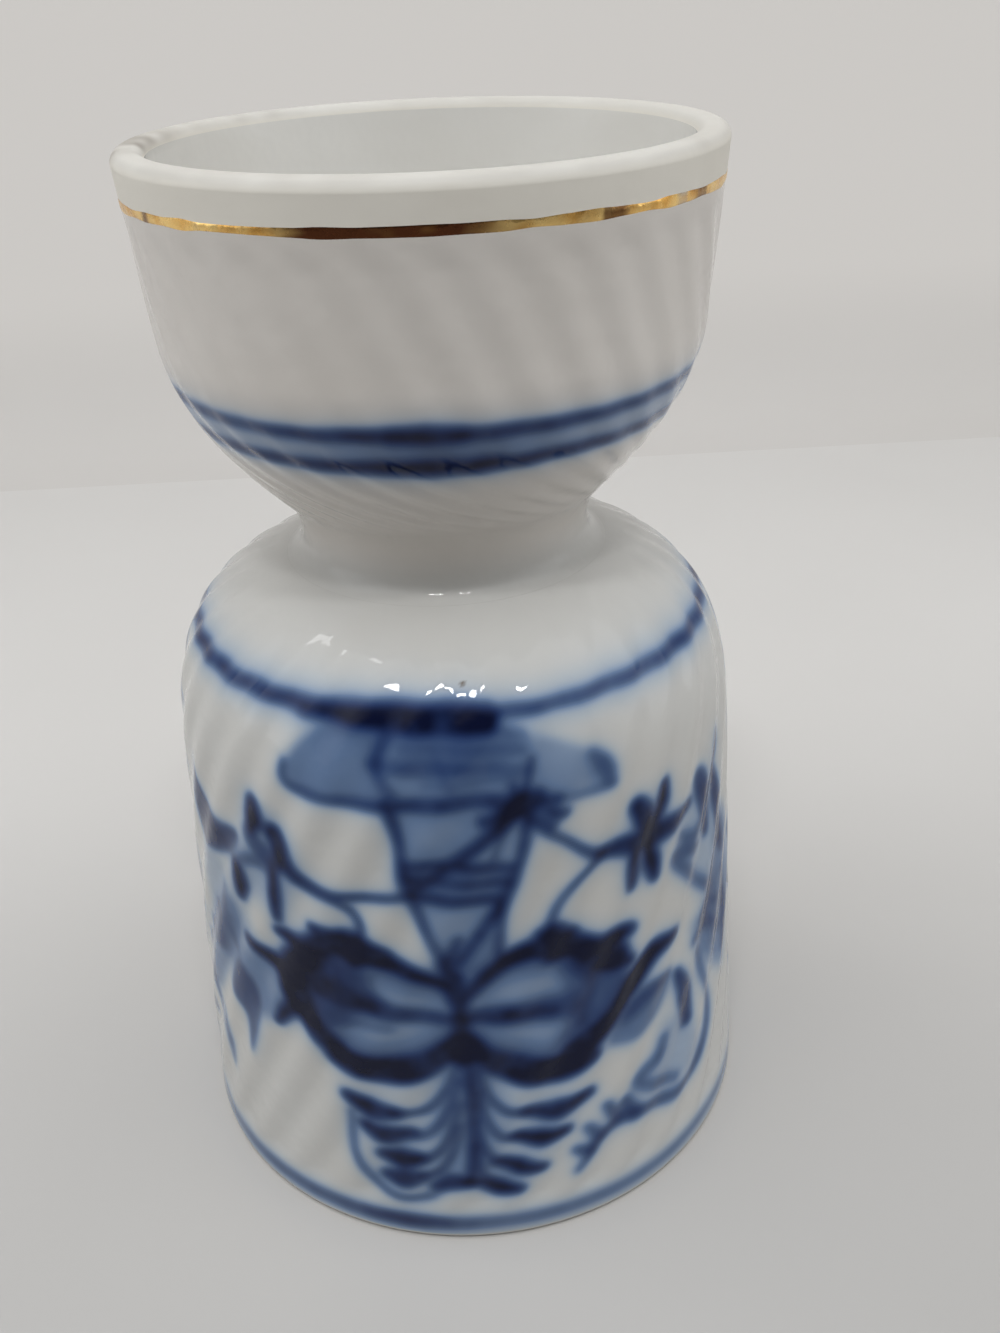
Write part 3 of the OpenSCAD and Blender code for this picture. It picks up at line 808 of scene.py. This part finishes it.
# Real stains, and painted shade at the foot and on the small bowl's front, darken towards this
# brown.
GRIME_AND_SHADE = (0.10, 0.065, 0.035)
COBALT = [
    (0.0, (1.0, 1.0, 1.0)),
    (0.1, (0.80, 0.88, 0.98)),
    (0.25, (0.49, 0.635, 0.88)),
    (0.4, (0.23, 0.36, 0.635)),
    (0.55, (0.12, 0.205, 0.42)),
    (0.7, (0.055, 0.11, 0.30)),
    (0.86, (0.022, 0.048, 0.175)),
    (1.0, (0.004, 0.008, 0.045)),
]
RED_GOLD, YELLOW_GOLD = (0.80, 0.44, 0.11), (1.0, 0.70, 0.27)
# The gold goes to the brown below where it is tarnished, and across the front as a painted dark
# reflection.
BROWNED_GOLD, BARE_GLAZE = (0.13, 0.045, 0.02), (0.42, 0.38, 0.32)
SHADED_Y, BRIGHT_Y, SHADE = -0.16, 0.08, 0.4
GLOW_Z, GLOW_SHARE = 0.035, 0.8


def new_material(name):
    """A material without nodes, and its tree."""
    material = bpy.data.materials.new(name)
    material.use_nodes = True
    material.node_tree.nodes.clear()
    return material, material.node_tree


def feed(tree, socket, value):
    """Links a socket to what it is given, or sets it to a colour or a number."""
    if isinstance(value, bpy.types.NodeSocket):
        tree.links.new(value, socket)
    elif socket.type == "RGBA":
        socket.default_value = (*value, 1)
    else:
        socket.default_value = value


def node(tree, kind, *inputs, **values):
    """Adds a node. Inputs are given in order or by name, and settings by name."""
    made = tree.nodes.new(kind)
    for key, value in values.items():
        if hasattr(made, key):
            setattr(made, key, value)
        else:
            feed(tree, made.inputs[key.replace("_", " ")], value)
    for socket, value in zip(made.inputs, inputs):
        feed(tree, socket, value)
    return made


def mixed(tree, factor, first, second, blend="MIX"):
    """A colour between two, or their product."""
    made = node(tree, "ShaderNodeMix", factor, data_type="RGBA", blend_type=blend)
    feed(tree, made.inputs[6], first)
    feed(tree, made.inputs[7], second)
    return made.outputs[2]


def ramp(tree, factor, stops):
    """A colour ramp through (place, (r, g, b)) stops."""
    made = node(tree, "ShaderNodeValToRGB", factor)
    elements = made.color_ramp.elements
    while len(elements) < len(stops):
        elements.new(0.5)
    for element, (place, colour) in zip(elements, stops):
        element.position = place
        element.color = (*colour, 1)
    return made.outputs["Color"]


def noise(tree, scale, detail=3.0):
    """Noise in the object's own coordinates, whose scale is in cells to a metre."""
    place = node(tree, "ShaderNodeTexCoord").outputs["Object"]
    made = node(tree, "ShaderNodeTexNoise", place, Scale=scale, Detail=detail)
    return made.outputs["Fac"]


def kept(tree, name):
    """What keep_paint stored under a name."""
    return node(tree, "ShaderNodeAttribute", attribute_name=name).outputs["Fac"]


def bumps(tree, height, strength, distance):
    """Normals of a surface with slight bumps."""
    made = node(tree, "ShaderNodeBump", Height=height, Strength=strength, Distance=distance)
    return made.outputs["Normal"]


def finished(material, shader):
    """The material, with its shader joined to the output."""
    node(material.node_tree, "ShaderNodeOutputMaterial", shader.outputs[0])
    return material


def glaze(name, cool, warm_lit, gloss=1.0, roughness=0.03):
    """Clear glaze over porcelain with the ink under it, cooler in places and warmer and painted
    lighter in others.
    """
    material, tree = new_material(name)
    cloud = ramp(tree, noise(tree, 45), [(0.3, CLOUDED), (0.7, CLEAR)])
    body = mixed(tree, 1.0, mixed(tree, kept(tree, "warm_lit"), cool, warm_lit), cloud, "MULTIPLY")
    inked = mixed(tree, 1.0, body, ramp(tree, kept(tree, "ink"), COBALT), "MULTIPLY")
    ripple = bumps(tree, noise(tree, 380, 2.0), 0.2, 0.0004)
    # The stains and the painted shade are mixed in last, towards a brown.
    shader = node(
        tree, "ShaderNodeBsdfPrincipled", mixed(tree, kept(tree, "stain_and_shade"), inked, GRIME_AND_SHADE),
        Roughness=0.5, IOR=1.5, Specular_IOR_Level=0.0, Normal=ripple,
        Coat_Weight=gloss, Coat_Roughness=roughness, Coat_IOR=1.29, Coat_Normal=ripple,
    )
    return finished(material, shader)


def worn_gold():
    """Fired gold, tarnished brown in places, browned across the front as a painted dark
    reflection, and worn through to the glaze in others.
    """
    material, tree = new_material("worn gold")
    left = kept(tree, "gold")
    bright = ramp(tree, noise(tree, 600), [(0.3, RED_GOLD), (0.6, YELLOW_GOLD)])
    browned = mixed(tree, kept(tree, "tarnish_and_reflection"), bright, BROWNED_GOLD)
    rough = node(tree, "ShaderNodeMapRange", noise(tree, 1500), To_Min=0.12, To_Max=0.38)
    shader = node(
        tree, "ShaderNodeBsdfPrincipled", mixed(tree, left, BARE_GLAZE, browned),
        Metallic=left, Roughness=rough.outputs[0], IOR=1.5,
        Normal=bumps(tree, noise(tree, 900), 0.35, 0.0003),
    )
    return finished(material, shader)


def paper(name, low, high, seen=None):
    """Matt paper, a little cloudy, and darker in front: a painted shadow. Where a pale colour is
    given, its raised part shows to the camera and in mirrors as that."""
    material, tree = new_material(name)
    place = node(tree, "ShaderNodeTexCoord").outputs["Object"]
    split = node(tree, "ShaderNodeSeparateXYZ", place)
    # Painted shadow: the paper darkens towards the front.
    near = node(
        tree, "ShaderNodeMapRange", split.outputs["Y"], interpolation_type="SMOOTHSTEP",
        From_Min=SHADED_Y, From_Max=BRIGHT_Y, To_Min=SHADE,
    )
    cloud = ramp(tree, noise(tree, 9), [(0.3, low), (0.7, high)])
    surface = node(
        tree, "ShaderNodeBsdfPrincipled", mixed(tree, 1.0, cloud, near.outputs[0], "MULTIPLY"),
        Roughness=0.7, Specular_IOR_Level=0.1,
    )
    if seen:
        raised = node(
            tree, "ShaderNodeMapRange", split.outputs["Z"], interpolation_type="SMOOTHSTEP",
            From_Max=GLOW_Z, To_Max=GLOW_SHARE,
        )
        rays = node(tree, "ShaderNodeLightPath").outputs
        direct = node(tree, "ShaderNodeMath", rays["Is Camera Ray"], rays["Is Glossy Ray"],
                      operation="MAXIMUM")
        part = node(tree, "ShaderNodeMath", direct.outputs[0], raised.outputs[0],
                    operation="MULTIPLY")
        glow = node(tree, "ShaderNodeEmission", seen, Strength=1.0)
        surface = node(
            tree, "ShaderNodeMixShader", part.outputs[0], surface.outputs[0], glow.outputs[0]
        )
    return finished(material, surface)


# Pieces


SPECK = (1.5, 20.1, 53.1)
# Painted shade darkens the bottom of the foot by the table; the waist grows a little browner and
# darker towards its top.
SPECK_SIZE, SPECK_STAIN, FOOT_SHADE, WAIST_TOP_TINT = 0.22, 0.9, 0.1, 0.05


def spot(middle, size, angle, radius, height):
    """How much of a small round spot at (degrees, radius, height) is at each place."""
    beside = angle - middle[0]
    gap = np.sqrt(
        radius**2 + middle[1] ** 2 - 2 * radius * middle[1] * np.cos(np.radians(beside))
        + (height - middle[2]) ** 2
    )
    return smooth(1.5 - gap / size)


def lay_glaze(piece, material, start):
    """Gives a material to the faces from one row of points on, to the end of the skin."""
    mesh = piece.data
    mesh.materials.append(material)
    indices = np.zeros(len(mesh.polygons), np.int32)
    mesh.polygons.foreach_get("material_index", indices)
    indices[start * COLUMNS:] = len(mesh.materials) - 1
    mesh.polygons.foreach_set("material_index", indices)


def make_large_bowl(porcelain, lit_inside, worn):
    """The mouth-down bowl, with its painting."""
    outside, rest = large_outlines()
    angle, radius, height = fluted_points(outside, rest, large_flutes)
    piece = ring_mesh("large_bowl_glazed", angle, radius, height, -1, porcelain)
    ink = painted_large_bowl().at(angle, height)
    ink[len(outside):] = 0
    keep_paint(piece, "ink", ink)
    speck = SPECK_STAIN * spot(SPECK, SPECK_SIZE, angle, radius, height)
    # Painted shade: darker along the bottom of the foot, by the table.
    foot_shade = FOOT_SHADE * smooth((FOOT_LINE_Z + 2 * FOOT_LINE_W - height) / FOOT_LINE_W)
    keep_paint(piece, "stain_and_shade", np.maximum(speck, foot_shade))
    keep_paint(piece, "warm_lit", np.zeros(angle.shape))
    foot = np.flatnonzero(height[:, 0] < FOOT_ROUND / 2)
    lay_glaze(piece, worn, foot[0])
    lay_glaze(piece, lit_inside, foot[-1])
    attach(piece, "root")
    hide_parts("large_bowl", "shoulder_line", "foot_line")


def make_waist(porcelain):
    """The smooth waist, which runs a little way into both bowls."""
    low = LARGE_H + LOWER_ROUND * math.cos(CROWN_SLOPE)
    high = low + WAIST_STRAIGHT
    lower = arc((WAIST_R + LOWER_ROUND, low), LOWER_ROUND, 255, 180, 20)
    upper = arc((WAIST_R + UPPER_ROUND, high), UPPER_ROUND, 180, 135, 20)
    outline = fine_ends(even_rows([lower, upper], ROW_STEP))
    angle, radius, height = plain_points(outline)
    piece = ring_mesh("waist_glazed", angle, radius, height, 1, porcelain)
    keep_paint(piece, "ink", np.zeros(angle.shape))
    # A little browner and darker towards the top of the waist.
    keep_paint(piece, "stain_and_shade", WAIST_TOP_TINT * smooth((height - LARGE_H) / WAIST_H))
    # Painted light: warmer and painted lighter up the waist, towards the small bowl.
    keep_paint(piece, "warm_lit", smooth((height - LARGE_H - 0.5) / (0.7 * WAIST_H)))
    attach(piece, "root")
    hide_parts("waist")


def lip_stain(angle, radius, height):
    """The small bowl's stains: a dark trace and a patch on its lip, and mottling on top."""
    front = (angle + 180) % 360 - 180
    rough = 0.5 + 0.5 * soft_noise(angle.shape, 9, 11)
    cloud = 0.5 + 0.5 * soft_noise(angle.shape, 30, 12)
    edge_r, edge_z = RIM_R - WALL + 0.3 * LIP_ROUND, CUP_H - 0.3 * LIP_ROUND
    trace = smooth(1.5 - np.hypot(radius - edge_r, height - edge_z) / 0.22)
    trace = trace * smooth((front + 62) / 8) * smooth((-14 - front) / 8)
    lip = smooth((height - CUP_H + 1.4) / 1.2)
    patch = lip * smooth((25 - abs(front + 90)) / 20)
    mottling = lip_top(height) * (0.04 + 0.2 * cloud * rough)
    return 1.2 * trace * smooth(1.6 * rough) + 0.45 * patch * rough + mottling


def lip_top(height):
    """1 on top of the small bowl's lip, and 0 under it."""
    return smooth((height - CUP_H + LIP_ROUND) / 0.7)


def make_small_bowl(porcelain, lit_inside, worn):
    """The mouth-up bowl, with its pair of lines and its worn lip."""
    outside, rest = small_outlines()
    angle, radius, height = fluted_points(outside, rest, small_flutes)
    piece = ring_mesh("small_bowl_glazed", angle, radius, height, 1, porcelain)
    ink = painted_small_bowl().at(angle, height)
    ink[len(outside):] = 0
    keep_paint(piece, "ink", ink)
    stain_and_shade = lip_stain(angle, radius, height)
    # Painted shade: the small bowl's outside is darker towards the front.
    front = (angle[:len(outside)] + 180) % 360 - 180
    stain_and_shade[:len(outside)] += 0.05 * smooth((70 - abs(front)) / 60)
    keep_paint(piece, "stain_and_shade", np.clip(stain_and_shade, 0, 1))
    # Painted light: the small bowl takes the warmer, lighter body, less of it on top of the lip.
    keep_paint(piece, "warm_lit", 1 - 0.6 * lip_top(height))
    lay_glaze(piece, worn, np.flatnonzero(height[:, 0] > GOLD_Z + GOLD_W / 2)[0])
    lay_glaze(piece, lit_inside, np.flatnonzero(height[:, 0] > CUP_H - LIP_ROUND)[-1])
    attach(piece, "root")
    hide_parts("small_bowl", "upper_blue_line", "lower_blue_line")


def make_gold_line(gold):
    """The gold line, a thin uneven band on the smooth rim."""
    columns = np.arange(COLUMNS) * 360 / COLUMNS
    front = (columns + 180) % 360 - 180
    sway = soft_noise((2, COLUMNS), 11, 21)[:1] * 0.09
    lean = soft_noise((2, COLUMNS), 40, 22)[:1] * 0.06
    lean = lean + 0.25 * smooth((75 - abs(front)) / 50) - 0.15
    rows = np.linspace(-0.5, 0.5, 5)[:, None]
    height = GOLD_Z + GOLD_W / 2 + lean + rows * (1.1 * GOLD_W + 2 * sway)
    lift = GOLD_LIFT * np.array([-0.5, 1, 1, 1, -0.5])[:, None]
    radius = KNEE_R + (height - KNEE_Z) * WALL_SLOPE + lift
    angle = np.ones(radius.shape) * columns
    piece = ring_mesh("gold_line_fired", angle, radius, height, 1, gold, closed=False)
    thin = soft_noise(radius.shape, 6, 23)
    gaps = smooth((soft_noise((2, COLUMNS), 16, 24)[:1] - 0.6) / 0.15)
    keep_paint(piece, "gold", np.clip(1 - gaps * (0.7 + 0.5 * thin), 0, 1))
    # Painted dark reflection: the gold is browned across the front of the cup.
    brown = smooth((front + 27) / 8) * smooth((16 - front) / 12)
    dabs = smooth((soft_noise((2, COLUMNS), 10, 25)[:1] - 0.5) / 0.3)
    tarnish_and_reflection = np.maximum(brown, 0.75 * dabs) + 0.25 * abs(2 * rows) ** 3 + 0.2 * thin
    keep_paint(piece, "tarnish_and_reflection", np.clip(tarnish_and_reflection, 0, 1))
    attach(piece, "root")
    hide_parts("gold_line")


# Stage


STAGE_SIDE = 1.2
WALL_Y, WALL_BEND, WALL_TOP = 0.17, 0.035, 0.8
TABLE_TONES = (0.585, 0.575, 0.56), (0.62, 0.61, 0.595)
# The wall's own tones are a little darker than the table's, a painted shade in the bend at its
# foot, where the glow is still low.
WALL_TONES = (0.55, 0.535, 0.515), (0.58, 0.565, 0.55)
WALL_SEEN, ROOM_SEEN = (0.65, 0.63, 0.605), (0.62, 0.61, 0.595)
ROOM_PALE, ROOM_DARK, ROOM_LIGHT = (0.88, 0.885, 0.89), (0.07, 0.07, 0.07), 1.7
TO_DARK_SIDE = (0.0, -0.96, -0.28)


def stage_sheet(name, rows, material):
    """A wide sheet through rows of (y, z), in metres."""
    points = [(x, y, z) for y, z in rows for x in (-STAGE_SIDE, 0.0, STAGE_SIDE)]
    corners = [3 * k + j for k in range(len(rows) - 1) for j in (0, 1)]
    mesh = bpy.data.meshes.new(name)
    mesh.from_pydata(points, [], [(a, a + 1, a + 4, a + 3) for a in corners])
    mesh.polygons.foreach_set("use_smooth", [True] * len(corners))
    mesh.materials.append(material)
    sheet = bpy.data.objects.new(name, mesh)
    bpy.context.scene.collection.objects.link(sheet)


def make_stage():
    """The table, and the wall that it meets in a small curve."""
    stage_sheet("table", [(-STAGE_SIDE, 0.0), (0.0, 0.0), (WALL_Y, 0.0)],
                paper("pale table", *TABLE_TONES))
    turns = np.radians(np.linspace(0, 90, 9))
    rows = [(WALL_Y + WALL_BEND * math.sin(a), WALL_BEND * (1 - math.cos(a))) for a in turns]
    rows.append((WALL_Y + WALL_BEND, WALL_TOP))
    stage_sheet("wall", rows, paper("pale wall", *WALL_TONES, seen=WALL_SEEN))


def soft_lamp(name, place, width, depth, watts):
    """A soft box that faces the middle of the cup."""
    lamp = bpy.data.lights.new(name, "AREA")
    lamp.shape = "RECTANGLE"
    lamp.size = width
    lamp.size_y = depth
    lamp.energy = watts
    made = bpy.data.objects.new(name, lamp)
    made.location = place
    aim = Vector((0, 0, CUP_H * MM / 2)) - Vector(place)
    made.rotation_euler = aim.to_track_quat("-Z", "Y").to_euler()
    bpy.context.scene.collection.objects.link(made)


def make_lights():
    """A room that is pale behind the cup and dark in front, with a box and two ceiling lamps."""
    soft_lamp("back box", (-0.35, 0.45, 0.75), 0.6, 0.6, 8.0)
    soft_lamp("left ceiling lamp", (-0.13, -0.48, 0.92), 0.14, 0.05, 1.7)
    soft_lamp("right ceiling lamp", (0.12, -0.48, 0.92), 0.12, 0.04, 1.3)
    world = bpy.data.worlds.new("room")
    world.use_nodes = True
    tree = world.node_tree
    place = node(tree, "ShaderNodeTexCoord").outputs["Generated"]
    facing = node(tree, "ShaderNodeVectorMath", place, TO_DARK_SIDE, operation="DOT_PRODUCT")
    colour = ramp(tree, facing.outputs["Value"], [(0.15, ROOM_PALE), (0.6, ROOM_DARK)])
    room = node(tree, "ShaderNodeBackground", colour, ROOM_LIGHT)
    seen = node(tree, "ShaderNodeBackground", ROOM_SEEN, 1.0)
    camera_ray = node(tree, "ShaderNodeLightPath").outputs["Is Camera Ray"]
    mix = node(tree, "ShaderNodeMixShader", camera_ray, room.outputs[0], seen.outputs[0])
    feed(tree, tree.nodes["World Output"].inputs["Surface"], mix.outputs[0])
    tree.nodes.remove(tree.nodes["Background"])
    bpy.context.scene.world = world


def make_camera():
    """The camera of the photo."""
    lens = bpy.data.cameras.new("camera")
    lens.lens = CAMERA_FOCAL_PX * lens.sensor_width / PHOTO_H
    lens.clip_start = 0.005
    camera = bpy.data.objects.new("camera", lens)
    camera.matrix_world = (
        Matrix.Translation(Vector((0, -CAMERA_BACK, CAMERA_HEIGHT)) * MM)
        @ Matrix.Rotation(-CAMERA_YAW, 4, "Z")
        @ Matrix.Rotation(math.radians(90) - CAMERA_PITCH, 4, "X")
        @ Matrix.Rotation(CAMERA_ROLL, 4, "Z")
    )
    bpy.context.scene.collection.objects.link(camera)
    bpy.context.scene.camera = camera


make_camera()
make_lights()
make_stage()

porcelain = glaze("painted porcelain", COOL_BODY, WARM_LIT_BODY)
# Painted light: the insides get a lighter copy of the porcelain.
lit_inside = glaze("inside porcelain painted lighter", INSIDE_LIT_BODY, INSIDE_LIT_BODY)
worn = glaze("worn glaze", COOL_BODY, LIP_BODY, 0.4, 0.4)
make_large_bowl(porcelain, lit_inside, worn)
make_waist(porcelain)
make_small_bowl(porcelain, lit_inside, worn)
make_gold_line(worn_gold())

bpy.context.scene.view_settings.view_transform = "Standard"
